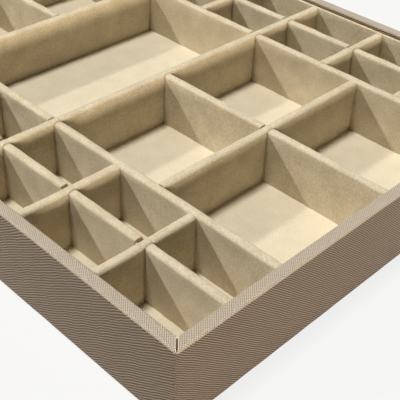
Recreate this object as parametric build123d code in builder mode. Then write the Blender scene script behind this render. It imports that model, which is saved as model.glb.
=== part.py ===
from build123d import *
import os

# A jewelry tray: a shallow box of wrapped boards, lined with velvet,
# with an egg-crate grid of velvet-covered boards that makes 41 sections.
# X runs along the tray, Y across it and Z up from the surface it stands on.

# Sections, measured between velvet faces
cell_length = 49.4
centre_cell_length = 45.6
cell_width = 27.6
large_cell_width = 76.4
section_depth = 33.3

# Velvet: the same cloth on the dividers, the walls and the floor
velvet_thickness = 0.8

# Dividers: a board, eased at its top, with a sheet of velvet folded over it
divider_board = 3.6
board_top_chamfer = 0.7
divider_top_radius = 1.8
slot_clearance = 0.3
velvet_cutback = 1.2
cutback_depth = 2.5

# Walls: boards wrapped in leatherette, which is folded over the rim and under the foot
wall_board = 4.9
leatherette = 0.8
rim_step = 3.4
rim_fold_radius = 1.2
corner_radius = 1.6
corner_slit = 0.8
inner_flap_depth = 16.0
under_flap_width = 7.0

# Linings: card behind the velvet on the walls, foam under it on the floor
liner_card = 0.6
liner_top_radius = 0.4
floor_foam_thickness = 3.0
floor_gap = 0.2

# Base: a board let into the walls, above a felt-covered panel that nests in a tray below
base_board_thickness = 6.0
base_rebate = 1.5
base_panel_thickness = 0.7
base_panel_radius = 3.0
base_panel_gap = 0.3
base_felt_thickness = 0.6

# How far a cut runs past what it cuts
cut_overrun = 1.0

row_lengths = [cell_length] * 3 + [centre_cell_length] * 2 + [cell_length] * 3
column_widths = [cell_width] * 2 + [large_cell_width] * 2 + [cell_width] * 2

divider_thickness = divider_board + 2 * velvet_thickness
inner_length = sum(row_lengths) + divider_thickness * (len(row_lengths) - 1)
inner_width = sum(column_widths) + divider_thickness * (len(column_widths) - 1)

# The clear opening inside the rim, the opening between the bare boards, and the outside
lining_thickness = liner_card + velvet_thickness
opening_length = inner_length + 2 * lining_thickness
opening_width = inner_width + 2 * lining_thickness
board_opening_length = opening_length + 2 * leatherette
board_opening_width = opening_width + 2 * leatherette
frame_length = board_opening_length + 2 * wall_board
frame_width = board_opening_width + 2 * wall_board
tray_length = frame_length + 2 * leatherette
tray_width = frame_width + 2 * leatherette

# Heights, from the felt up
board_foot = base_felt_thickness + base_panel_thickness
wall_foot = board_foot - leatherette
base_top = board_foot + base_board_thickness
foam_top = base_top + floor_foam_thickness
floor_top = foam_top + velvet_thickness
divider_top = floor_top + section_depth
rim_top = divider_top + rim_step
board_top = rim_top - leatherette
flap_foot = rim_top - inner_flap_depth
slot_depth = section_depth / 2
board_slot = divider_thickness + slot_clearance


def divider_lines(cell_sizes, span):
    """Centre line of each divider between cells laid side by side."""
    lines = []
    edge = -span / 2
    for size in cell_sizes[:-1]:
        lines.append(edge + size + divider_thickness / 2)
        edge += size + divider_thickness
    return lines


left_1, left_2, left_full, centre, right_full, right_2, right_1 = divider_lines(row_lengths, inner_length)
front_outer, front_inner, middle, back_inner, back_outer = divider_lines(column_widths, inner_width)

os.makedirs("parts", exist_ok=True)

# Base panel, the felt drawn over it, and the base board above
felt_length = tray_length - 2 * (under_flap_width + base_panel_gap)
felt_width = tray_width - 2 * (under_flap_width + base_panel_gap)
panel_length = felt_length - 2 * base_felt_thickness
panel_width = felt_width - 2 * base_felt_thickness

with BuildPart() as base_panel:
    with BuildSketch(Plane.XY.offset(base_felt_thickness)):
        RectangleRounded(panel_length, panel_width, base_panel_radius)
    extrude(amount=base_panel_thickness)
base_panel.part.label = "base_panel"
export_step(base_panel.part, "parts/base_panel.step")

with BuildPart() as base_felt:
    with BuildSketch():
        RectangleRounded(felt_length, felt_width, base_panel_radius + base_felt_thickness)
    extrude(amount=board_foot)
    add(base_panel.part, mode=Mode.SUBTRACT)
base_felt.part.label = "base_felt"
export_step(base_felt.part, "parts/base_felt.step")

with BuildPart() as base_board:
    with BuildSketch(Plane.XY.offset(board_foot)):
        Rectangle(board_opening_length + 2 * base_rebate, board_opening_width + 2 * base_rebate)
    extrude(amount=base_board_thickness)
base_board.part.label = "base_board"
export_step(base_board.part, "parts/base_board.step")

# The four wall boards, as the ring that they make when their mitred ends meet
with BuildPart() as wall_ring:
    with BuildSketch(Plane.XY.offset(board_foot)):
        RectangleRounded(frame_length, frame_width, corner_radius - leatherette)
        Rectangle(board_opening_length, board_opening_width, mode=Mode.SUBTRACT)
    extrude(amount=board_top - board_foot)

mitre = wall_board + leatherette
half_length = frame_length / 2
half_width = frame_width / 2
front_mitres = [
    (-half_length, -half_width),
    (half_length, -half_width),
    (half_length - mitre, mitre - half_width),
    (mitre - half_length, mitre - half_width),
]
right_mitres = [
    (half_length, -half_width),
    (half_length, half_width),
    (half_length - mitre, half_width - mitre),
    (half_length - mitre, mitre - half_width),
]

with BuildPart() as wall_front:
    add(wall_ring.part)
    with BuildSketch(Plane.XY.offset(board_foot)):
        Polygon(*front_mitres, align=None)
    extrude(amount=board_top - board_foot, mode=Mode.INTERSECT)
    add(base_board.part, mode=Mode.SUBTRACT)
wall_front.part.label = "wall_front"
export_step(wall_front.part, "parts/wall_front.step")

with BuildPart() as wall_right:
    add(wall_ring.part)
    with BuildSketch(Plane.XY.offset(board_foot)):
        Polygon(*right_mitres, align=None)
    extrude(amount=board_top - board_foot, mode=Mode.INTERSECT)
    add(base_board.part, mode=Mode.SUBTRACT)
wall_right.part.label = "wall_right"
export_step(wall_right.part, "parts/wall_right.step")

with BuildPart() as wall_back:
    mirror(wall_front.part, about=Plane.XZ)
wall_back.part.label = "wall_back"
export_step(wall_back.part, "parts/wall_back.step")

with BuildPart() as wall_left:
    mirror(wall_right.part, about=Plane.YZ)
wall_left.part.label = "wall_left"
export_step(wall_left.part, "parts/wall_left.step")

# Leatherette, one strip round all four walls: over the rim, down inside as a flap,
# and under the foot up to the base panel
rim_corner = (tray_length / 2, tray_width / 2)
flap_corner = (opening_length / 2, opening_width / 2)

with BuildPart() as leatherette_wrap:
    with BuildSketch(Plane.XY.offset(wall_foot)):
        RectangleRounded(tray_length, tray_width, corner_radius)
        Rectangle(opening_length, opening_width, mode=Mode.SUBTRACT)
    extrude(amount=rim_top - wall_foot)
    fillet(leatherette_wrap.edges().group_by(Axis.Z)[-1], rim_fold_radius)
    add(wall_ring.part, mode=Mode.SUBTRACT)
    with BuildSketch(Plane.XY.offset(wall_foot)):
        Rectangle(board_opening_length, board_opening_width)
    extrude(amount=flap_foot - wall_foot, mode=Mode.SUBTRACT)
    with BuildSketch(Plane.XY.offset(wall_foot)):
        RectangleRounded(tray_length, tray_width, corner_radius)
        Rectangle(
            tray_length - 2 * under_flap_width, tray_width - 2 * under_flap_width, mode=Mode.SUBTRACT
        )
    extrude(amount=leatherette)
    # The rim is slit along each mitre, down past its fold, and so is the flap at the corner
    with BuildSketch(Plane.XY.offset(rim_top - rim_fold_radius)):
        with Locations(Location(rim_corner, 45)):
            Rectangle(4 * (wall_board + 2 * leatherette), corner_slit)
        mirror(about=Plane.XZ)
        mirror(about=Plane.YZ)
    extrude(amount=rim_fold_radius + cut_overrun, mode=Mode.SUBTRACT)
    with BuildSketch(Plane.XY.offset(flap_foot)):
        with Locations(Location(flap_corner, 45)):
            Rectangle(4 * leatherette, corner_slit)
        mirror(about=Plane.XZ)
        mirror(about=Plane.YZ)
    extrude(amount=inner_flap_depth + cut_overrun, mode=Mode.SUBTRACT)
leatherette_wrap.part.label = "leatherette_wrap"
export_step(leatherette_wrap.part, "parts/leatherette_wrap.step")

# Floor lining
with BuildPart() as floor_foam:
    with BuildSketch(Plane.XY.offset(base_top)):
        Rectangle(inner_length - 2 * floor_gap, inner_width - 2 * floor_gap)
    extrude(amount=floor_foam_thickness)
floor_foam.part.label = "floor_foam"
export_step(floor_foam.part, "parts/floor_foam.step")

with BuildPart() as floor_velvet:
    with BuildSketch(Plane.XY.offset(foam_top)):
        Rectangle(inner_length - 2 * floor_gap, inner_width - 2 * floor_gap)
    extrude(amount=velvet_thickness)
floor_velvet.part.label = "floor_velvet"
export_step(floor_velvet.part, "parts/floor_velvet.step")

# Wall linings, seen from the end: the card stands against the wall,
# and the velvet covers its face and folds back over its top
liner_height = divider_top - base_top

with BuildSketch() as card_section:
    Rectangle(liner_card, liner_height - velvet_thickness, align=(Align.MIN, Align.MIN))

with BuildSketch() as lining_section:
    Rectangle(lining_thickness, liner_height, align=(Align.MIN, Align.MIN))
    inside_top = lining_section.vertices().group_by(Axis.Y)[-1].sort_by(Axis.X)[-1]
    fillet(inside_top, liner_top_radius)
    add(card_section.sketch, mode=Mode.SUBTRACT)


def build_liner(name, wall_plane, length):
    """One wall's card and velvet, run both ways from the middle of the wall."""
    with BuildPart() as card:
        with BuildSketch(wall_plane):
            add(card_section.sketch)
        extrude(amount=length / 2, both=True)
    card.part.label = f"{name}_card"
    export_step(card.part, f"parts/{name}_card.step")

    with BuildPart() as velvet:
        with BuildSketch(wall_plane):
            add(lining_section.sketch)
        extrude(amount=length / 2, both=True)
    velvet.part.label = f"{name}_velvet"
    export_step(velvet.part, f"parts/{name}_velvet.step")


front_face = Plane(origin=(0, -opening_width / 2, base_top), x_dir=(0, 1, 0), z_dir=(1, 0, 0))
back_face = Plane(origin=(0, opening_width / 2, base_top), x_dir=(0, -1, 0), z_dir=(-1, 0, 0))
left_face = Plane(origin=(-opening_length / 2, 0, base_top), x_dir=(1, 0, 0), z_dir=(0, -1, 0))
right_face = Plane(origin=(opening_length / 2, 0, base_top), x_dir=(-1, 0, 0), z_dir=(0, 1, 0))

# The long linings fill the wall, and the short ones stand between them
build_liner("liner_front", front_face, opening_length)
build_liner("liner_back", back_face, opening_length)
build_liner("liner_left", left_face, inner_width)
build_liner("liner_right", right_face, inner_width)

# Dividers, seen from the end: the board, eased at its top, and the velvet that rounds it
with BuildSketch() as board_section:
    Rectangle(divider_board, section_depth - velvet_thickness, align=(Align.CENTER, Align.MIN))
    chamfer(board_section.vertices().group_by(Axis.Y)[-1], board_top_chamfer)

with BuildSketch() as velvet_section:
    Rectangle(divider_thickness, section_depth, align=(Align.CENTER, Align.MIN))
    fillet(velvet_section.vertices().group_by(Axis.Y)[-1], divider_top_radius)
    add(board_section.sketch, mode=Mode.SUBTRACT)


def build_divider(name, end_plane, side_plane, length, slots, slot_foot, bare_slots):
    """A board and its velvet, with a slot half as deep as the divider at each crossing.

    The end plane holds the section, the side plane the slots, and both start at one end.
    Beside the bare slots the velvet is cut back, and the top of the board shows.
    """
    with BuildPart() as board:
        with BuildSketch(end_plane):
            add(board_section.sketch)
        extrude(amount=length)
        with BuildSketch(side_plane):
            with Locations(*[(place, slot_foot) for place in slots]):
                Rectangle(board_slot, slot_depth + cut_overrun, align=(Align.CENTER, Align.MIN))
        extrude(amount=divider_thickness, both=True, mode=Mode.SUBTRACT)
    board.part.label = f"{name}_board"
    export_step(board.part, f"parts/{name}_board.step")

    with BuildPart() as velvet:
        with BuildSketch(end_plane):
            add(velvet_section.sketch)
        extrude(amount=length)
        with BuildSketch(side_plane):
            with Locations(*[(place, slot_foot) for place in slots]):
                Rectangle(board_slot, slot_depth + cut_overrun, align=(Align.CENTER, Align.MIN))
            for place in bare_slots:
                with Locations((place - board_slot / 2, section_depth - cutback_depth)):
                    Rectangle(velvet_cutback, cutback_depth + cut_overrun, align=(Align.MAX, Align.MIN))
        extrude(amount=divider_thickness, both=True, mode=Mode.SUBTRACT)
    velvet.part.label = f"{name}_velvet"
    export_step(velvet.part, f"parts/{name}_velvet.step")


def build_long_divider(name, line, start, stop, crossings, velvet_is_cut_back=False):
    """Along the tray, with slots open at the top that the cross dividers drop into."""
    end_plane = Plane(origin=(start, line, floor_top), x_dir=(0, 1, 0), z_dir=(1, 0, 0))
    side_plane = Plane(origin=(start, line, floor_top), x_dir=(1, 0, 0), z_dir=(0, -1, 0))
    slots = [crossing - start for crossing in crossings]
    bare_slots = slots if velvet_is_cut_back else []
    build_divider(name, end_plane, side_plane, stop - start, slots, section_depth - slot_depth, bare_slots)


def build_cross_divider(name, line, start, stop, crossings):
    """Across the tray, with slots open at the foot, so its top runs through unbroken."""
    end_plane = Plane(origin=(line, start, floor_top), x_dir=(-1, 0, 0), z_dir=(0, 1, 0))
    side_plane = Plane(origin=(line, start, floor_top), x_dir=(0, 1, 0), z_dir=(1, 0, 0))
    slots = [crossing - start for crossing in crossings]
    build_divider(name, end_plane, side_plane, stop - start, slots, -cut_overrun, [])


# Four long dividers run from wall to wall. The outer ones are crossed by every row,
# and the inner ones by the two full cross dividers, with the short rows glued to their sides.
# Only along the front outer one does the board show beside its slots.
all_rows = [left_1, left_2, left_full, centre, right_full, right_2, right_1]
left_end = -inner_length / 2
right_end = inner_length / 2
build_long_divider(
    "divider_front_outer", front_outer, left_end, right_end, all_rows, velvet_is_cut_back=True
)
build_long_divider("divider_front_inner", front_inner, left_end, right_end, [left_full, right_full])
build_long_divider("divider_back_inner", back_inner, left_end, right_end, [left_full, right_full])
build_long_divider("divider_back_outer", back_outer, left_end, right_end, all_rows)

# Two full cross dividers fence off the one section that spans the middle
half_divider = divider_thickness / 2
front_end = -inner_width / 2
back_end = inner_width / 2
all_columns = [front_outer, front_inner, back_inner, back_outer]
build_cross_divider("divider_cross_left", left_full, front_end, back_end, all_columns)
build_cross_divider("divider_cross_right", right_full, front_end, back_end, all_columns)

# At each end a middle divider and a cross piece part the block into four square sections
square_left = (left_end + left_full - half_divider) / 2
square_right = (right_end + right_full + half_divider) / 2
build_long_divider("divider_middle_left", middle, left_end, left_full - half_divider, [square_left])
build_long_divider("divider_middle_right", middle, right_full + half_divider, right_end, [square_right])
square_front = front_inner + half_divider
square_back = back_inner - half_divider
build_cross_divider("divider_square_left", square_left, square_front, square_back, [middle])
build_cross_divider("divider_square_right", square_right, square_front, square_back, [middle])

# Short rows part the two columns of small sections along each long wall
short_rows = [left_1, left_2, centre, right_2, right_1]
for number, row in enumerate(short_rows, start=1):
    build_cross_divider(
        f"divider_front_row_{number}", row, front_end, front_inner - half_divider, [front_outer]
    )
    build_cross_divider(
        f"divider_back_row_{number}", row, back_inner + half_divider, back_end, [back_outer]
    )
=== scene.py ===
import math

import bmesh
import bpy
import numpy as np
from mathutils import Matrix, Vector


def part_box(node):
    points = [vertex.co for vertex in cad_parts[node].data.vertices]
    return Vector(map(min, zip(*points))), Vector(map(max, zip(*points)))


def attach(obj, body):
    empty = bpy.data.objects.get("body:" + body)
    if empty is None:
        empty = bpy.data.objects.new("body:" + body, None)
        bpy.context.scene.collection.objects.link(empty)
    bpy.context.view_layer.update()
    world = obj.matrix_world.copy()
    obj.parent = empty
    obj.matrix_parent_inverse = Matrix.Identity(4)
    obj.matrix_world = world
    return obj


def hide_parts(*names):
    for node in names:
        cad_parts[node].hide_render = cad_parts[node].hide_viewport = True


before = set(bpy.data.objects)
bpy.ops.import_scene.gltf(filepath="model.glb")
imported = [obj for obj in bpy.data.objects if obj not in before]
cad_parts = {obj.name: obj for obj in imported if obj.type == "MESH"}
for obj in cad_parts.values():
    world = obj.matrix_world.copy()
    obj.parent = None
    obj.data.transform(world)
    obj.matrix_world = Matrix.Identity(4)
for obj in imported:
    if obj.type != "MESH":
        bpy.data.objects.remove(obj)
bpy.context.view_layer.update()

# A jewelry tray: boards wrapped in grained leatherette, lined with velvet, with an
# egg-crate grid of velvet-covered dividers. All sizes are in metres, in the row frame.

ROOT = "root"
TAU = 2 * math.pi
X, Y, Z = 0, 1, 2

# Velvet: how far apart its points lie, and how uneven it is
VELVET_STEP = 0.002
VELVET_RISE_STEPS = 5
VELVET_TOP_STEPS = 6
VELVET_TOP_RADIUS = 0.0018
LINER_TOP_RADIUS = 0.0004
VELVET_SWELL = 0.00009
VELVET_SWELL_LENGTH = 0.016
VELVET_RUFFLE = 0.00004
VELVET_RUFFLE_LENGTH = 0.0035
VELVET_END_ROUNDING = 0.0007
VELVET_END_SHARES = (0.15, 0.5, 1.0)
VELVET_CUTBACK = 0.0012
CUTBACK_DEPTH = 0.0025
SLOT_CLEARANCE = 0.0003
FLOOR_STEP = 0.003
FLOOR_SWELL = 0.00012
FLOOR_SWELL_LENGTH = 0.03

# Leatherette: its folds, its slit at each mitre, and how far apart its points lie
FOLD_RADIUS = 0.0012
FOOT_FOLD_RADIUS = 0.001
CORNER_RADIUS = 0.0016
CORNER_REACH = 0.0095
CORNER_STEPS = 16
CORNER_GRADING = 1.6
INNER_FLAP_DEPTH = 0.016
UNDER_FLAP_WIDTH = 0.007
FOLD_STEPS = 6
SLIT_WIDTH = 0.0008
CUT_EDGE_WIDTH = 0.0002
LEATHERETTE_SEED = 5
FRONT, BACK = 0, 1
WALL_STEP = 0.0025
RIM_STEP = 0.0009
RUN_STEP = 0.004
LEATHERETTE_SWELL = 0.00006
LEATHERETTE_SWELL_LENGTH = 0.02

# Felt and foam below
FELT_CORNER_STEPS = 6
FELT_CORNER_RADIUS = 0.0036
FELT_FOLD_RADIUS = 0.0008
FOAM_STEP = 0.006
FOAM_SWELL = 0

# Uneven surfaces: waves added up, how far their lengths differ, and a seed for each piece
RIPPLE_WAVES = 14
RIPPLE_LENGTH_SHARES = (0.6, 1.6)
LONG_DIVIDER_SEED = 100
CROSS_DIVIDER_SEED = 200
SEEDS_PER_DIVIDER = 2
LINER_SEEDS = {"front": 301, "back": 302, "left": 303, "right": 304}
FLOOR_SEED = 401
FOAM_SEED = 402

# Meshes: points closer than this are one, edges sharper than this stay sharp, and a sheet
# gets its thickness to the inside of its outer skin
MERGE_DISTANCE = 0.000002
SHARP_ANGLE = math.radians(50)
INSIDE = -1


def reach(node, axis):
    """Where a node starts and stops along one axis."""
    low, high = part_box(node)
    return low[axis], high[axis]


def middle_of(node, axis):
    """The middle of a node along one axis."""
    low, high = reach(node, axis)
    return (low + high) / 2


def ripple(points, wavelength, seed):
    """Smooth, uneven heights of about -1 to 1 at some points."""
    rng = np.random.default_rng(seed)
    total = np.zeros(points.shape[:-1])
    for _ in range(RIPPLE_WAVES):
        direction = rng.normal(size=3)
        direction /= np.linalg.norm(direction)
        length = wavelength * rng.uniform(*RIPPLE_LENGTH_SHARES)
        total += np.sin(points @ direction * TAU / length + rng.uniform(0, TAU))
    return total / math.sqrt(RIPPLE_WAVES)


def steps_between(start, stop, step):
    """Even places from start to stop, at most a step apart."""
    count = max(1, math.ceil(abs(stop - start) / step))
    return np.linspace(start, stop, count + 1)


def places(start, stop, marks, step):
    """Places along a run: its ends, the marks, and even steps between them."""
    stops = [start] + sorted(m for m in marks if start < m < stop) + [stop]
    runs = [steps_between(a, b, step)[:-1] for a, b in zip(stops, stops[1:])]
    return np.concatenate(runs + [[stop]])


def grid_faces(count, across, keep, flip):
    """The four-sided faces of a grid of points, as rows of indices."""
    index = np.arange(count * across).reshape(count, across)
    quads = np.stack([index[:-1, :-1], index[:-1, 1:], index[1:, 1:], index[1:, :-1]], axis=-1)
    quads = quads[keep]
    return quads[:, ::-1] if flip else quads


def sheet_mesh(name, points, keep=None, flip=False):
    """A mesh of one grid of points, without the faces that are not kept."""
    count, across = points.shape[:2]
    if keep is None:
        keep = np.ones((count - 1, across - 1), bool)
    quads = grid_faces(count, across, keep, flip)
    used, quads = np.unique(quads, return_inverse=True)
    mesh = bpy.data.meshes.new(name)
    mesh.from_pydata(points.reshape(-1, 3)[used].tolist(), [], quads.reshape(-1, 4).tolist())
    return mesh


def piece(name, mesh, materials):
    """A visible piece with this mesh and these finishes."""
    made = bpy.data.objects.new(name, mesh)
    bpy.context.scene.collection.objects.link(made)
    for material in materials:
        mesh.materials.append(material)
    return made


def thicken(made, thickness):
    """Gives a sheet its thickness, away from its outer skin."""
    solid = made.modifiers.new("thickness", "SOLIDIFY")
    solid.thickness = thickness
    solid.offset = INSIDE
    graph = bpy.context.evaluated_depsgraph_get()
    mesh = bpy.data.meshes.new_from_object(made.evaluated_get(graph))
    made.modifiers.clear()
    sheet = made.data
    made.data = mesh
    bpy.data.meshes.remove(sheet)
    soften(mesh)


def soften(mesh):
    """Smooth shading that stops at sharp edges."""
    mesh.polygons.foreach_set("use_smooth", [True] * len(mesh.polygons))
    mesh.set_sharp_from_angle(angle=SHARP_ANGLE)


def settle(made, slot, *nodes):
    """The piece rides on the tray and stands for its nodes."""
    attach(made, ROOT)
    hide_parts(*nodes)
    return made


# The mix node's sockets for each kind of value: first, second and outcome
MIX_SOCKETS = {"FLOAT": (2, 3, 0), "RGBA": (6, 7, 2)}
FULL_STRENGTH = 1.0

# How sRGB turns into linear light
SRGB_TOE = 0.04045
SRGB_TOE_SLOPE = 12.92
SRGB_OFFSET = 0.055
SRGB_POWER = 2.4
FULL_COLOUR = 255


class Finish:
    """A procedural material while it is put together."""

    def __init__(self, name, roughness, shine):
        self.material = bpy.data.materials.new(name)
        self.material.use_nodes = True
        self.tree = self.material.node_tree
        self.shader = self.tree.nodes["Principled BSDF"]
        self.shader.inputs["Roughness"].default_value = roughness
        self.shader.inputs["Specular IOR Level"].default_value = shine
        self.place = self.add("ShaderNodeTexCoord").outputs["Object"]

    def add(self, kind, inputs=None, **settings):
        """A new node with these settings and inputs."""
        node = self.tree.nodes.new(kind)
        for name, value in settings.items():
            setattr(node, name, value)
        for name, value in (inputs or {}).items():
            self.feed(node.inputs[name], value)
        return node

    def feed(self, socket, value):
        """Links another node's outcome to a socket, or sets the socket to a value."""
        if isinstance(value, bpy.types.NodeSocket):
            self.tree.links.new(value, socket)
        else:
            socket.default_value = value

    def noise(self, size, detail, roughness):
        """Noise with patches of about this size, in metres."""
        inputs = {"Vector": self.place, "Scale": 1 / size, "Detail": detail, "Roughness": roughness}
        return self.add("ShaderNodeTexNoise", inputs).outputs["Fac"]

    def math(self, operation, first, second=0.0):
        """The outcome of one sum or comparison."""
        node = self.add("ShaderNodeMath", {0: first, 1: second}, operation=operation)
        return node.outputs["Value"]

    def mix(self, share, first, second, kind="FLOAT"):
        """First where the share is 0 and second where it is 1, for numbers or colours."""
        node = self.add("ShaderNodeMix", data_type=kind)
        first_socket, second_socket, outcome = MIX_SOCKETS[kind]
        self.feed(node.inputs[0], share)
        self.feed(node.inputs[first_socket], first)
        self.feed(node.inputs[second_socket], second)
        return node.outputs[outcome]

    def ramp(self, value, stops):
        """Colours at places from 0 to 1."""
        node = self.add("ShaderNodeValToRGB", {"Fac": value})
        elements = node.color_ramp.elements
        for place, _ in stops[len(elements):]:
            elements.new(place)
        for element, (place, colour) in zip(elements, stops):
            element.position = place
            element.color = (*linear(colour), 1)
        return node.outputs["Color"]

    def colour(self, look):
        """The colour of the surface."""
        self.feed(self.shader.inputs["Base Color"], look)

    def bump(self, height, depth):
        """Relief of this depth in metres, from heights of 0 to 1."""
        inputs = {"Height": height, "Distance": depth, "Strength": FULL_STRENGTH}
        relief = self.add("ShaderNodeBump", inputs)
        self.feed(self.shader.inputs["Normal"], relief.outputs["Normal"])


def linear(colour):
    """An sRGB colour of 0 to 255 as linear light."""
    light = []
    for share in (part / FULL_COLOUR for part in colour):
        if share <= SRGB_TOE:
            light.append(share / SRGB_TOE_SLOPE)
        else:
            light.append(((share + SRGB_OFFSET) / (1 + SRGB_OFFSET)) ** SRGB_POWER)
    return light


# Velvet: pile in mottled colours, with larger clouds where it lies another way
VELVET_ROUGHNESS = 0.95
VELVET_SHINE = 0.1
VELVET_SHEEN = 0.25
VELVET_SHEEN_ROUGHNESS = 0.6
PILE_SIZE = 0.001
PILE_DETAIL = 3.0
PILE_ROUGHNESS = 0.7
PILE_DEPTH = 0.00012
CLOUD_SIZE = 12 * PILE_SIZE
CLOUD_SHARE = 0.3

# Every grain runs from its dark to its pale colour between these heights
DARK_SHARE, PALE_SHARE = 0.3, 0.7
SOFT_DETAIL = 2.0
SOFT_ROUGHNESS = 0.5

# Board, card, foam and felt
PLAIN_SHINE = 0.2
PLAIN_DETAIL = 4.0
PLAIN_GRAIN_ROUGHNESS = 0.65


def velvet_finish(name, dark, pale):
    """Short velvet pile: mottled, with a soft sheen and no shine."""
    finish = Finish(name, VELVET_ROUGHNESS, VELVET_SHINE)
    finish.feed(finish.shader.inputs["Sheen Weight"], VELVET_SHEEN)
    finish.feed(finish.shader.inputs["Sheen Roughness"], VELVET_SHEEN_ROUGHNESS)
    grain = finish.noise(PILE_SIZE, PILE_DETAIL, PILE_ROUGHNESS)
    clouds = finish.noise(CLOUD_SIZE, SOFT_DETAIL, SOFT_ROUGHNESS)
    value = finish.mix(CLOUD_SHARE, grain, clouds)
    finish.colour(finish.ramp(value, [(DARK_SHARE, dark), (PALE_SHARE, pale)]))
    finish.bump(grain, PILE_DEPTH)
    return finish.material


def plain_finish(name, dark, pale, grain_size, relief, roughness):
    """Board, card, foam or felt: a fine uneven grain in two close colours."""
    finish = Finish(name, roughness, PLAIN_SHINE)
    grain = finish.noise(grain_size, PLAIN_DETAIL, PLAIN_GRAIN_ROUGHNESS)
    finish.colour(finish.ramp(grain, [(DARK_SHARE, dark), (PALE_SHARE, pale)]))
    finish.bump(grain, relief)
    return finish.material


# Leatherette grain, as angles up from the run of the wall and as distances across its
# ridges, with how far the ridges wander
WALL_RIDGE_ANGLE = math.radians(33)
END_RIDGE_ANGLE = math.radians(-41)
RIM_RIDGE_ANGLE = math.radians(45)
WALL_RIDGE_PITCH = 0.0013
END_RIDGE_PITCH = 0.0010
RIM_RIDGE_PITCH = 0.0009
WALL_RIDGE_WANDER = 5.0
END_RIDGE_WANDER = 4.0
RIM_RIDGE_WANDER = 1.0
RIDGE_DETAIL = 2.0
RIDGE_DETAIL_SCALE = 0.35
RIDGE_DETAIL_ROUGHNESS = 0.55
RIDGE_DEPTH = 0.0003
LEATHERETTE_ROUGHNESS = 0.5
LEATHERETTE_SHINE = 0.35
LEATHERETTE_GRAIN = 0.0004
LEATHERETTE_GRAIN_SHARE = 0.2

# One band of the wave pattern at a scale of 1
WAVE_PERIOD = TAU / 20

# A face belongs to an end wall where its direction lies more than this share along X
END_WALL_SHARE = 0.5

# Leatherette colours from the grooves up to the ridges, darker in the grooves as painted shade.
# The walls' colours are darker all over as painted shade. The rim's are paler, partly where the
# coating is stretched over the rim and partly as painted light where the rim faces up to the lamps.
SIDE_COLOURS_PAINTED_SHADE = [(0.1, (64, 50, 36)), (0.55, (115, 96, 75)), (0.95, (165, 146, 121))]
RIM_COLOURS_PAINTED_LIGHT = [(0.1, (160, 145, 125)), (0.55, (196, 183, 163)), (0.95, (222, 211, 194))]


def ridges(finish, place, angle, pitch, wander):
    """One family of ridges that wander a little, as heights of 0 to 1."""
    rotation = (0, 0, math.pi / 2 - angle)
    turned = finish.add("ShaderNodeMapping", {"Vector": place, "Rotation": rotation})
    inputs = {
        "Vector": turned.outputs["Vector"],
        "Scale": WAVE_PERIOD / pitch,
        "Distortion": wander,
        "Detail": RIDGE_DETAIL,
        "Detail Scale": RIDGE_DETAIL_SCALE,
        "Detail Roughness": RIDGE_DETAIL_ROUGHNESS,
    }
    bands = finish.add("ShaderNodeTexWave", inputs, wave_type="BANDS", bands_direction="X")
    return bands.outputs["Fac"]


def leatherette_finish(rim_start, rim_stop):
    """Cross-grained leatherette: ridges that lean one way on the long walls and the other way
    on the end walls, and a fine cross-hatch where it is stretched over the rim."""
    finish = Finish("leatherette", LEATHERETTE_ROUGHNESS, LEATHERETTE_SHINE)
    wrap = finish.add("ShaderNodeUVMap", uv_map="wrap").outputs["UV"]
    rise = finish.add("ShaderNodeSeparateXYZ", {"Vector": wrap}).outputs["Y"]
    direction = finish.add("ShaderNodeTexCoord").outputs["Normal"]
    along = finish.add("ShaderNodeSeparateXYZ", {"Vector": direction}).outputs["X"]
    on_end = finish.math("GREATER_THAN", finish.math("ABSOLUTE", along), END_WALL_SHARE)
    above = finish.math("GREATER_THAN", rise, rim_start)
    below = finish.math("LESS_THAN", rise, rim_stop)
    on_rim = finish.math("MULTIPLY", above, below)
    wall = ridges(finish, wrap, WALL_RIDGE_ANGLE, WALL_RIDGE_PITCH, WALL_RIDGE_WANDER)
    end = ridges(finish, wrap, END_RIDGE_ANGLE, END_RIDGE_PITCH, END_RIDGE_WANDER)
    sides = finish.mix(on_end, wall, end)
    leaning = ridges(finish, wrap, RIM_RIDGE_ANGLE, RIM_RIDGE_PITCH, RIM_RIDGE_WANDER)
    crossing = ridges(finish, wrap, -RIM_RIDGE_ANGLE, RIM_RIDGE_PITCH, RIM_RIDGE_WANDER)
    hatch = finish.math("MULTIPLY", leaning, crossing)
    height = finish.mix(on_rim, sides, finish.math("SQRT", hatch))
    grain = finish.noise(LEATHERETTE_GRAIN, SOFT_DETAIL, SOFT_ROUGHNESS)
    value = finish.mix(LEATHERETTE_GRAIN_SHARE, height, grain)
    # The walls take the colours darkened by painted shade, and the rim the ones paled by painted
    # light and its stretched coating
    shaded_side_look = finish.ramp(value, SIDE_COLOURS_PAINTED_SHADE)
    lit_rim_look = finish.ramp(value, RIM_COLOURS_PAINTED_LIGHT)
    finish.colour(finish.mix(on_rim, shaded_side_look, lit_rim_look, kind="RGBA"))
    finish.bump(height, RIDGE_DEPTH)
    return finish.material


# Finishes
# The floor's velvet is the same cloth as the dividers' and walls', in two copies: the floor's paler
# colours are painted light where it faces up to the lamps, the other's darker colours painted shade
velvet = velvet_finish("velvet", dark=(182, 168, 136), pale=(231, 218, 190))
floor_pile_painted_light = velvet_finish("floor_velvet", dark=(206, 194, 166), pale=(232, 220, 194))
divider_board = plain_finish(
    "divider_board", dark=(104, 70, 38), pale=(150, 106, 64),
    grain_size=0.0004, relief=0.0001, roughness=0.9,
)
fibreboard = plain_finish(
    "fibreboard", dark=(72, 44, 26), pale=(108, 70, 42),
    grain_size=0.0007, relief=0.0001, roughness=0.9,
)
card = plain_finish(
    "card", dark=(170, 158, 136), pale=(196, 184, 162),
    grain_size=0.0006, relief=0.00004, roughness=0.85,
)
foam = plain_finish(
    "foam", dark=(214, 210, 200), pale=(236, 233, 226),
    grain_size=0.0008, relief=0.0002, roughness=0.95,
)
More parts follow.
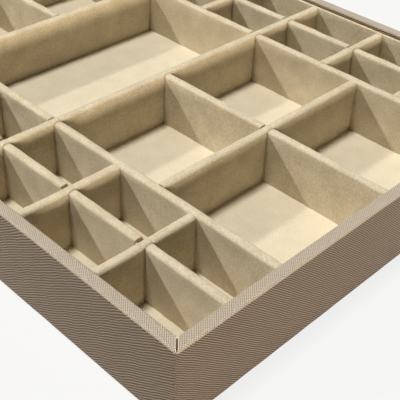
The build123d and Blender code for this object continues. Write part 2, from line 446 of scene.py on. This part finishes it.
felt = plain_finish(
    "felt", dark=(86, 74, 64), pale=(112, 98, 86),
    grain_size=0.0007, relief=0.00015, roughness=0.95,
)
backing = plain_finish(
    "backing", dark=(226, 214, 190), pale=(244, 236, 216),
    grain_size=0.0005, relief=0.00005, roughness=0.9,
)


def board_finish(name):
    """The finish of a rigid piece, and none for a soft one."""
    if name.startswith(("wall_", "base_board", "base_panel")):
        return fibreboard
    if name.endswith("_card"):
        return card
    if name.startswith("divider_") and name.endswith("_board"):
        return divider_board
    return None


def dress_boards():
    """The rigid pieces keep their own shapes and get their finish."""
    for name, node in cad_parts.items():
        look = board_finish(name)
        if look:
            node.data.materials.clear()
            node.data.materials.append(look)


# Where the dividers stand
floor_top = reach("floor_velvet", Z)[1]
divider_top = reach("divider_cross_left_velvet", Z)[1]
velvet_left, velvet_right = reach("divider_cross_left_velvet", X)
board_left, board_right = reach("divider_cross_left_board", X)
divider_thickness = velvet_right - velvet_left
velvet_thickness = (divider_thickness - (board_right - board_left)) / 2
slot_level = (floor_top + divider_top) / 2
slot_half = (divider_thickness + SLOT_CLEARANCE) / 2

ROWS_PER_SIDE = 5
CROSS_DIVIDERS = [
    "divider_cross_left",
    "divider_cross_right",
    "divider_square_left",
    "divider_square_right",
]
for side in ("front", "back"):
    CROSS_DIVIDERS += [f"divider_{side}_row_{number + 1}" for number in range(ROWS_PER_SIDE)]
LONG_DIVIDERS = [
    "divider_front_outer",
    "divider_front_inner",
    "divider_back_inner",
    "divider_back_outer",
    "divider_middle_left",
    "divider_middle_right",
]
CUT_BACK_DIVIDER = "divider_front_outer"


def crossings(name, others, run, across):
    """Where the other dividers pass through this one, along its run."""
    start, stop = reach(f"{name}_velvet", run)
    line = middle_of(f"{name}_velvet", across)
    found = []
    for other in others:
        low, high = reach(f"{other}_velvet", across)
        place = middle_of(f"{other}_velvet", run)
        if low < line < high and start < place < stop:
            found.append(place)
    return sorted(found)


def divider_section(foot, top):
    """Round the velvet's section: offsets from the middle, heights and outward directions."""
    half = divider_thickness / 2
    bend = top - VELVET_TOP_RADIUS
    rise = np.concatenate([
        np.linspace(foot, slot_level, VELVET_RISE_STEPS + 1),
        np.linspace(slot_level, bend, VELVET_RISE_STEPS + 1)[1:],
    ])
    turn = np.linspace(0, math.pi / 2, VELVET_TOP_STEPS + 1)[1:]
    rounded = half - VELVET_TOP_RADIUS * (1 - np.cos(turn))
    offset = np.concatenate([np.full(len(rise), half), rounded])
    height = np.concatenate([rise, bend + VELVET_TOP_RADIUS * np.sin(turn)])
    out = np.concatenate([np.ones(len(rise)), np.cos(turn)])
    up = np.concatenate([np.zeros(len(rise)), np.sin(turn)])
    sides = ((offset, -offset), (height, height), (out, -out), (up, up))
    return [np.concatenate([near, far[::-1]]) for near, far in sides]


def end_rounding(run, ends):
    """How far the velvet draws in beside its cut ends."""
    nearest = np.min(np.abs(run[:, None] - np.array(ends)[None, :]), axis=1)
    inside = np.clip(VELVET_END_ROUNDING - nearest, 0, None)
    return VELVET_END_ROUNDING - np.sqrt(VELVET_END_ROUNDING**2 - inside**2)


def divider_stations(start, stop, cuts, back):
    """Places along a divider's velvet, closer together beside its cut ends, and those ends."""
    marks = [cut - slot_half for cut in cuts] + [cut + slot_half for cut in cuts]
    marks += [cut - slot_half - back for cut in cuts if back]
    ends = marks + [start, stop]
    near = VELVET_END_ROUNDING * np.array(VELVET_END_SHARES)
    beside = [end + side * distance for end in ends for distance in near for side in (-1, 1)]
    return places(start, stop, marks + beside, VELVET_STEP), ends


def kept_faces(stations, height, cuts, back, open_top):
    """Which faces of a divider's velvet stay: all but those in its slots and where its board
    is bare."""
    middle_run = (stations[1:] + stations[:-1]) / 2
    middle_height = (height[1:] + height[:-1]) / 2
    keep = np.ones((len(stations) - 1, len(height) - 1), bool)
    for cut in cuts:
        beside = np.abs(middle_run - cut) < slot_half
        part = middle_height > slot_level if open_top else middle_height < slot_level
        keep[np.ix_(beside, part)] = False
        if back:
            bare = (middle_run > cut - slot_half - back) & (middle_run < cut)
            keep[np.ix_(bare, middle_height > divider_top - CUTBACK_DEPTH)] = False
    return keep


def divider_velvet(name, others, run, across, open_top, seed):
    """Velvet folded over one divider's board, cut out where other dividers pass through."""
    start, stop = reach(f"{name}_velvet", run)
    line = middle_of(f"{name}_velvet", across)
    cuts = crossings(name, others, run, across)
    back = VELVET_CUTBACK if name == CUT_BACK_DIVIDER else 0
    stations, ends = divider_stations(start, stop, cuts, back)
    offset, height, out, up = divider_section(floor_top, divider_top)

    draw = end_rounding(stations, ends)
    points = np.zeros((len(stations), len(offset), 3))
    points[..., run] = stations[:, None]
    points[..., across] = line + offset[None, :] - draw[:, None] * out[None, :]
    points[..., Z] = height[None, :] - draw[:, None] * up[None, :]
    swell = VELVET_SWELL * ripple(points, VELVET_SWELL_LENGTH, seed)
    swell += VELVET_RUFFLE * ripple(points, VELVET_RUFFLE_LENGTH, seed + 1)
    points[..., across] += swell * out[None, :]
    points[..., Z] += swell * up[None, :]

    keep = kept_faces(stations, height, cuts, back, open_top)
    mesh = sheet_mesh(name, points, keep, flip=run == Y)
    made = piece(f"{name}_cover", mesh, [velvet])
    thicken(made, velvet_thickness)
    settle(made, "velvet", f"{name}_velvet")


def liner_section(wall, face, foot, top, inward):
    """Up the face of a wall's velvet and back over its card: places across, heights and
    outward directions."""
    bend = top - LINER_TOP_RADIUS
    rise = np.linspace(foot, bend, 2 * VELVET_RISE_STEPS)
    turn = np.linspace(0, math.pi / 2, VELVET_TOP_STEPS)[1:]
    rounded = face - inward * LINER_TOP_RADIUS * (1 - np.cos(turn))
    offset = np.concatenate([np.full(len(rise), face), rounded, [wall]])
    height = np.concatenate([rise, bend + LINER_TOP_RADIUS * np.sin(turn), [top]])
    out = np.concatenate([np.ones(len(rise)), np.cos(turn), [0]]) * inward
    up = np.concatenate([np.zeros(len(rise)), np.sin(turn), [1]])
    return offset, height, out, up


def liner_velvet(side, run, across, inward):
    """Velvet on one wall, folded back over the top of its card."""
    start, stop = reach(f"liner_{side}_velvet", run)
    low, high = reach(f"liner_{side}_velvet", across)
    wall, face = (low, high) if inward > 0 else (high, low)
    foot, top = reach(f"liner_{side}_velvet", Z)
    offset, height, out, up = liner_section(wall, face, foot, top, inward)
    stations = places(start, stop, [], VELVET_STEP)
    points = np.zeros((len(stations), len(offset), 3))
    points[..., run] = stations[:, None]
    points[..., across] = offset[None, :]
    points[..., Z] = height[None, :]
    swell = VELVET_RUFFLE * ripple(points, VELVET_RUFFLE_LENGTH, LINER_SEEDS[side])
    points[..., across] += swell * out[None, :]
    points[..., Z] += swell * up[None, :]
    mesh = sheet_mesh(f"liner_{side}", points, flip=(run == Y) != (inward < 0))
    made = piece(f"liner_{side}_cover", mesh, [velvet])
    card_low, card_high = reach(f"liner_{side}_card", across)
    thicken(made, (high - low) - (card_high - card_low))
    settle(made, "velvet", f"liner_{side}_velvet")


def flat_sheet(name, node, step, swell_height, swell_length, finish, slot, seed):
    """A sheet or slab that fills its node's box, a little uneven on top."""
    low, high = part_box(node)
    along = places(low.x, high.x, [], step)
    across = places(low.y, high.y, [], step)
    points = np.zeros((len(along), len(across), 3))
    points[..., X] = along[:, None]
    points[..., Y] = across[None, :]
    points[..., Z] = high.z
    points[..., Z] -= swell_height * (1 + ripple(points, swell_length, seed)) / 2
    made = piece(name, sheet_mesh(name, points, flip=True), [finish])
    thicken(made, high.z - low.z)
    return settle(made, slot, node)


def arc(centre, radius, start, stop):
    """A fold in the section after its first point, with angles in degrees: each point and its
    outward direction."""
    rows = []
    for turn in np.radians(np.linspace(start, stop, FOLD_STEPS + 1)[1:]):
        out = (math.cos(turn), math.sin(turn))
        rows.append((centre[0] + radius * out[0], centre[1] + radius * out[1], *out))
    return rows


def wrap_section():
    """Round the leatherette's outer skin, in from under the foot, up the wall, over the rim and
    down inside: inward distance, height, and the two parts of the outward direction.
    Also where the fold over the rim starts and stops."""
    low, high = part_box("leatherette_wrap")
    rim_width = reach("liner_left_card", X)[0] - low.x
    bend = high.z - FOLD_RADIUS
    foot = low.z + FOOT_FOLD_RADIUS
    inner_bend = rim_width - FOLD_RADIUS
    flap_end = high.z - INNER_FLAP_DEPTH
    under = steps_between(UNDER_FLAP_WIDTH, FOOT_FOLD_RADIUS, WALL_STEP)
    rows = [(d, low.z, 0, -1) for d in under]
    rows += arc((FOOT_FOLD_RADIUS, foot), FOOT_FOLD_RADIUS, -90, -180)
    rows += [(0, z, -1, 0) for z in steps_between(foot, bend, WALL_STEP)[1:]]
    fold_start = len(rows) - 1
    rows += arc((FOLD_RADIUS, bend), FOLD_RADIUS, 180, 90)
    rows += [(d, high.z, 0, 1) for d in steps_between(FOLD_RADIUS, inner_bend, RIM_STEP)[1:]]
    rows += arc((inner_bend, bend), FOLD_RADIUS, 90, 0)
    fold_stop = len(rows) - 1
    rows += [(rim_width, z, 1, 0) for z in steps_between(bend, flap_end, WALL_STEP)[1:]]
    return np.array(rows), fold_start, fold_stop


def slit_gaps(count, fold_start):
    """How far each line of the skin stays off the mitre: the slit opens over the outer fold."""
    opening = np.clip((np.arange(count) - fold_start) / FOLD_STEPS, 0, 1)
    return SLIT_WIDTH / math.sqrt(2) * np.sqrt(opening)


def corner_rows(inward, gaps):
    """The skin near a mitre, as distances along the wall and into it. Each line of the skin
    starts at the mitre or its slit, turns the corner if it lies outside the corner's centre,
    and runs straight up to the same place along the wall."""
    radius = np.clip(CORNER_RADIUS - inward, 0, None)
    divisor = np.maximum(radius, MERGE_DISTANCE)
    opening = np.clip(gaps / (math.sqrt(2) * divisor), 0, 1)
    bend = np.where(radius > gaps, np.clip(np.arccos(opening) - math.pi / 4, 0, math.pi / 4), 0)
    arc_length = radius * bend
    straight_start = np.maximum(CORNER_RADIUS, inward + gaps)
    whole = arc_length + CORNER_REACH - straight_start
    shares = np.linspace(0, 1, CORNER_STEPS + 1) ** CORNER_GRADING
    way = CUT_EDGE_WIDTH + shares[:, None] * (whole - CUT_EDGE_WIDTH)[None, :]
    way = np.concatenate([np.zeros((1, len(inward))), way])
    turn = np.clip(bend - way / divisor, 0, None)
    on_arc = way < arc_length
    straight = straight_start + way - arc_length
    along = np.where(on_arc, CORNER_RADIUS - radius * np.sin(turn), straight)
    depth = np.where(on_arc, CORNER_RADIUS - radius * np.cos(turn), inward)
    return along, depth


def wall_rows(length, inward, gaps):
    """One wall's share of the skin, from mitre to mitre."""
    along, depth = corner_rows(inward, gaps)
    straight = steps_between(CORNER_REACH, length / 2, RUN_STEP)[1:]
    along = np.concatenate([along, np.repeat(straight[:, None], len(inward), axis=1)])
    depth = np.concatenate([depth, np.repeat(inward[None, :], len(straight), axis=0)])
    return np.concatenate([along, length - along[-2::-1]]), np.concatenate([depth, depth[-2::-1]])


def wall_skins(start, direction, length, section, gaps, thickness):
    """The outer and the inner skin of the leatherette on one wall, and the distances along it."""
    inside = np.array([-direction[1], direction[0]])
    inward, height, out, up = section.T
    skins = []
    for depth_below in (0, thickness):
        along, depth = wall_rows(length, inward - depth_below * out, gaps)
        points = np.zeros((*along.shape, 3))
        points[..., :2] = start + along[..., None] * direction + depth[..., None] * inside
        points[..., Z] = (height - depth_below * up)[None, :]
        skins.append(points)
    swell = LEATHERETTE_SWELL * ripple(skins[0], LEATHERETTE_SWELL_LENGTH, LEATHERETTE_SEED)
    from_mitre = np.minimum(along, length - along)
    fade = np.clip((from_mitre - CORNER_RADIUS) / CORNER_REACH, 0, 1)
    skins[0][..., :2] += (swell * fade * np.clip(out, None, 0)[None, :])[..., None] * inside
    return skins, along


def add_faces(build, wrap_map, grid, spots, cut_lines=()):
    """Faces between the points of a grid, with their spots on the unrolled strip. Only the
    outer skin has cut lines: it shows the front, and the back where it is cut at a slit."""
    last = len(grid) - 2
    for i in range(len(grid) - 1):
        for j in range(len(grid[0]) - 1):
            corner_ids = [(i, j), (i + 1, j), (i + 1, j + 1), (i, j + 1)]
            face = build.faces.new([grid[a][b] for a, b in corner_ids])
            in_slit = i in (0, last) and j in cut_lines
            face.material_index = FRONT if cut_lines and not in_slit else BACK
            for loop, (a, b) in zip(face.loops, corner_ids):
                loop[wrap_map].uv = spots[a][b]


def close_edges(build, wrap_map, outer, inner, spots, fold_start):
    """Faces between the two skins, along both long edges and beside each slit. They show only
    the back, which looks the same at every spot, so all take the first line's or row's."""
    for line in (0, -1):
        edge = [[row[line] for row in inner], [row[line] for row in outer]]
        edge = edge if line == 0 else edge[::-1]
        pairs = [list(pair) for pair in zip(*edge)]
        add_faces(build, wrap_map, pairs, spots[:, [0, 0]])
    for row in (0, -1):
        edge = [outer[row][fold_start:], inner[row][fold_start:]]
        edge = edge[::-1] if row == 0 else edge
        add_faces(build, wrap_map, edge, spots[[0, 0]])


def leatherette_wrap():
    """One strip round all four walls, slit along each mitre at the rim."""
    low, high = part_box("leatherette_wrap")
    thickness = reach("wall_left", X)[0] - low.x
    section, fold_start, fold_stop = wrap_section()
    lengths = np.hypot(np.diff(section[:, 0]), np.diff(section[:, 1]))
    rise = np.concatenate([[0], np.cumsum(lengths)])
    gaps = slit_gaps(len(section), fold_start)
    cut_lines = range(fold_start + FOLD_STEPS // 2, fold_stop - FOLD_STEPS // 2)
    corners = [(low.x, low.y), (high.x, low.y), (high.x, high.y), (low.x, high.y)]
    build = bmesh.new()
    wrap_map = build.loops.layers.uv.new("wrap")
    run_start = 0
    for number, corner in enumerate(corners):
        start = np.array(corner)
        stop = np.array(corners[(number + 1) % len(corners)])
        length = np.linalg.norm(stop - start)
        direction = (stop - start) / length
        skins, along = wall_skins(start, direction, length, section, gaps, thickness)
        outer, inner = ([[build.verts.new(p) for p in row] for row in skin] for skin in skins)
        spots = np.stack([run_start + along, np.broadcast_to(rise, along.shape)], axis=-1)
        add_faces(build, wrap_map, outer, spots, cut_lines)
        add_faces(build, wrap_map, [row[::-1] for row in inner], spots[:, ::-1])
        close_edges(build, wrap_map, outer, inner, spots, fold_start)
        run_start += length
    bmesh.ops.remove_doubles(build, verts=build.verts, dist=MERGE_DISTANCE)
    bmesh.ops.recalc_face_normals(build, faces=build.faces)
    mesh = bpy.data.meshes.new("leatherette_wrap")
    build.to_mesh(mesh)
    build.free()
    look = leatherette_finish(rise[fold_start], rise[fold_stop])
    made = piece("leatherette_skin", mesh, [look, backing])
    soften(mesh)
    settle(made, "leatherette", "leatherette_wrap")


def felt_pan():
    """Felt drawn over the base panel, with its edge folded up round it."""
    low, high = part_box("base_felt")
    thickness = reach("base_panel", Z)[0] - low.z
    section = [(0, high.z), (0, low.z + FELT_FOLD_RADIUS)]
    fold = arc((FELT_FOLD_RADIUS, low.z + FELT_FOLD_RADIUS), FELT_FOLD_RADIUS, 180, 270)
    section += [(inward, height) for inward, height, _, _ in fold]
    outline = rounded_outline(low, high, FELT_CORNER_RADIUS)
    rings = []
    for inward, height in section:
        ring = outline[:, :2] - outline[:, 2:] * inward
        rings.append(np.column_stack([ring, np.full(len(ring), height)]))
    build = bmesh.new()
    made_rings = [[build.verts.new(p) for p in ring] for ring in rings]
    count = len(outline)
    for lower, upper in zip(made_rings[1:], made_rings):
        for i in range(count):
            following = (i + 1) % count
            build.faces.new([lower[i], lower[following], upper[following], upper[i]])
    build.faces.new(made_rings[-1][::-1])
    mesh = bpy.data.meshes.new("base_felt")
    build.to_mesh(mesh)
    build.free()
    made = piece("base_felt_cover", mesh, [felt])
    thicken(made, thickness)
    settle(made, "felt", "base_felt")


def rounded_outline(low, high, radius):
    """Points round a rectangle with rounded corners, with their outward directions."""
    centres = [
        (high.x - radius, low.y + radius, -90),
        (high.x - radius, high.y - radius, 0),
        (low.x + radius, high.y - radius, 90),
        (low.x + radius, low.y + radius, 180),
    ]
    rows = []
    for x, y, start in centres:
        for turn in np.radians(np.linspace(start, start + 90, FELT_CORNER_STEPS + 1)):
            out = (math.cos(turn), math.sin(turn))
            rows.append((x + radius * out[0], y + radius * out[1], *out))
    return np.array(rows)


# The tray
dress_boards()
for number, name in enumerate(LONG_DIVIDERS):
    seed = LONG_DIVIDER_SEED + SEEDS_PER_DIVIDER * number
    divider_velvet(name, CROSS_DIVIDERS, X, Y, open_top=True, seed=seed)
for number, name in enumerate(CROSS_DIVIDERS):
    seed = CROSS_DIVIDER_SEED + SEEDS_PER_DIVIDER * number
    divider_velvet(name, LONG_DIVIDERS, Y, X, open_top=False, seed=seed)
liner_velvet("front", X, Y, inward=1)
liner_velvet("back", X, Y, inward=-1)
liner_velvet("left", Y, X, inward=1)
liner_velvet("right", Y, X, inward=-1)
# The floor's velvet takes the copy with painted light
floor_cover = flat_sheet(
    "floor_cover", "floor_velvet", FLOOR_STEP, FLOOR_SWELL, FLOOR_SWELL_LENGTH,
    floor_pile_painted_light, "velvet", FLOOR_SEED,
)
foam_pad = flat_sheet(
    "foam_pad", "floor_foam", FOAM_STEP, FOAM_SWELL, FLOOR_SWELL_LENGTH,
    foam, "foam", FOAM_SEED,
)
leatherette_wrap()
felt_pan()

# The floor and the lights: a hard one from the front left, one nearly straight down and a
# low one from the right, with a little light from all round
FLOOR_SIZE = 3.0
FLOOR_GRAIN = 0.02
FLOOR_DETAIL = 1.0
FLOOR_ROUGHNESS = 0.9
FLOOR_SHINE = 0.0
FLOOR_COLOURS = [(0.0, (186, 183, 178)), (1.0, (192, 189, 184))]
FLOOR_WHITE_SHARE = 0.84
WHITE = (1, 1, 1, 1)
KEY_DIRECTION = Vector((1.045, 0.9, -1.0))
KEY_STRENGTH = 1.45
KEY_SOFTNESS = math.radians(3.5)
KEY_COLOUR = (1.0, 0.97, 0.92)
OVERHEAD_DIRECTION = Vector((0.14, 0.1, -1.0))
OVERHEAD_STRENGTH = 2.6
OVERHEAD_SOFTNESS = math.radians(11)
OVERHEAD_COLOUR = (1.0, 0.99, 0.97)
RIGHT_DIRECTION = Vector((-1.0, 0.2, -0.06))
RIGHT_STRENGTH = 2.6
RIGHT_SOFTNESS = math.radians(8)
RIGHT_COLOUR = (1.0, 0.87, 0.72)
SKY_LIGHT = 0.03
SKY_COLOUR = (1.0, 0.97, 0.92, 1)


def shown_to_lens(tree):
    """1 for what the lens sees, straight on, in a gloss or through glass, and 0 for the rest."""
    rays = tree.nodes.new("ShaderNodeLightPath")
    shown = rays.outputs["Is Camera Ray"]
    for other in ("Is Glossy Ray", "Is Transmission Ray"):
        either = tree.nodes.new("ShaderNodeMath")
        either.operation = "MAXIMUM"
        tree.links.new(shown, either.inputs[0])
        tree.links.new(rays.outputs[other], either.inputs[1])
        shown = either.outputs["Value"]
    return shown


def floor_finish():
    """A pale floor that the lens sees as nearly white, with the tray's soft shadow on it."""
    finish = Finish("studio_floor", FLOOR_ROUGHNESS, FLOOR_SHINE)
    grain = finish.noise(FLOOR_GRAIN, FLOOR_DETAIL, SOFT_ROUGHNESS)
    finish.colour(finish.ramp(grain, FLOOR_COLOURS))
    glow = finish.add("ShaderNodeEmission", {"Color": WHITE, "Strength": FULL_STRENGTH})
    share = finish.math("MULTIPLY", shown_to_lens(finish.tree), FLOOR_WHITE_SHARE)
    seen = finish.add("ShaderNodeMixShader")
    finish.feed(seen.inputs[0], share)
    finish.feed(seen.inputs[1], finish.shader.outputs["BSDF"])
    finish.feed(seen.inputs[2], glow.outputs["Emission"])
    finish.feed(finish.tree.nodes["Material Output"].inputs["Surface"], seen.outputs["Shader"])
    return finish.material


def studio_floor():
    """A large square floor under the tray."""
    half = FLOOR_SIZE / 2
    corners = [(-half, -half, 0), (half, -half, 0), (half, half, 0), (-half, half, 0)]
    mesh = bpy.data.meshes.new("studio_floor")
    mesh.from_pydata(corners, [], [(0, 1, 2, 3)])
    piece("studio_floor", mesh, [floor_finish()])


def sun(name, direction, strength, softness, colour):
    """A distant light that shines in one direction."""
    lamp = bpy.data.lights.new(name, "SUN")
    lamp.energy = strength
    lamp.angle = softness
    lamp.color = colour
    made = bpy.data.objects.new(name, lamp)
    made.rotation_mode = "QUATERNION"
    made.rotation_quaternion = direction.to_track_quat("-Z", "Y")
    bpy.context.scene.collection.objects.link(made)


def sky():
    """Soft light from all round, and a white background behind the tray."""
    world = bpy.data.worlds.new("studio")
    world.use_nodes = True
    tree = world.node_tree
    tree.nodes.clear()
    mix = tree.nodes.new("ShaderNodeMixShader")
    out = tree.nodes.new("ShaderNodeOutputWorld")
    tree.links.new(shown_to_lens(tree), mix.inputs[0])
    looks = ((SKY_COLOUR, SKY_LIGHT), (WHITE, FULL_STRENGTH))
    for socket, (colour, strength) in zip((mix.inputs[1], mix.inputs[2]), looks):
        background = tree.nodes.new("ShaderNodeBackground")
        background.inputs["Color"].default_value = colour
        background.inputs["Strength"].default_value = strength
        tree.links.new(background.outputs["Background"], socket)
    tree.links.new(mix.outputs["Shader"], out.inputs["Surface"])
    bpy.context.scene.world = world


# The camera: where it stands, which way it looks and which way is up in the picture, and
# its lens in millimetres
CAMERA_PLACE = Vector((0.37426, -0.30960, 0.28781))
CAMERA_FORWARD = Vector((-0.5441, 0.5835, -0.6029))
CAMERA_UP = Vector((-0.4494, 0.4041, 0.7967))
LENS = 75.66


def camera():
    """The camera at the photo's viewing angle."""
    lens = bpy.data.cameras.new("camera")
    lens.lens = LENS
    made = bpy.data.objects.new("camera", lens)
    back = -CAMERA_FORWARD.normalized()
    right = CAMERA_UP.cross(back).normalized()
    up = back.cross(right)
    turn = Matrix((right, up, back)).transposed().to_4x4()
    made.matrix_world = Matrix.Translation(CAMERA_PLACE) @ turn
    bpy.context.scene.collection.objects.link(made)
    bpy.context.scene.camera = made


studio_floor()
sky()
sun("key", KEY_DIRECTION, KEY_STRENGTH, KEY_SOFTNESS, KEY_COLOUR)
sun("overhead", OVERHEAD_DIRECTION, OVERHEAD_STRENGTH, OVERHEAD_SOFTNESS, OVERHEAD_COLOUR)
sun("right", RIGHT_DIRECTION, RIGHT_STRENGTH, RIGHT_SOFTNESS, RIGHT_COLOUR)
camera()
bpy.context.scene.view_settings.view_transform = "Standard"
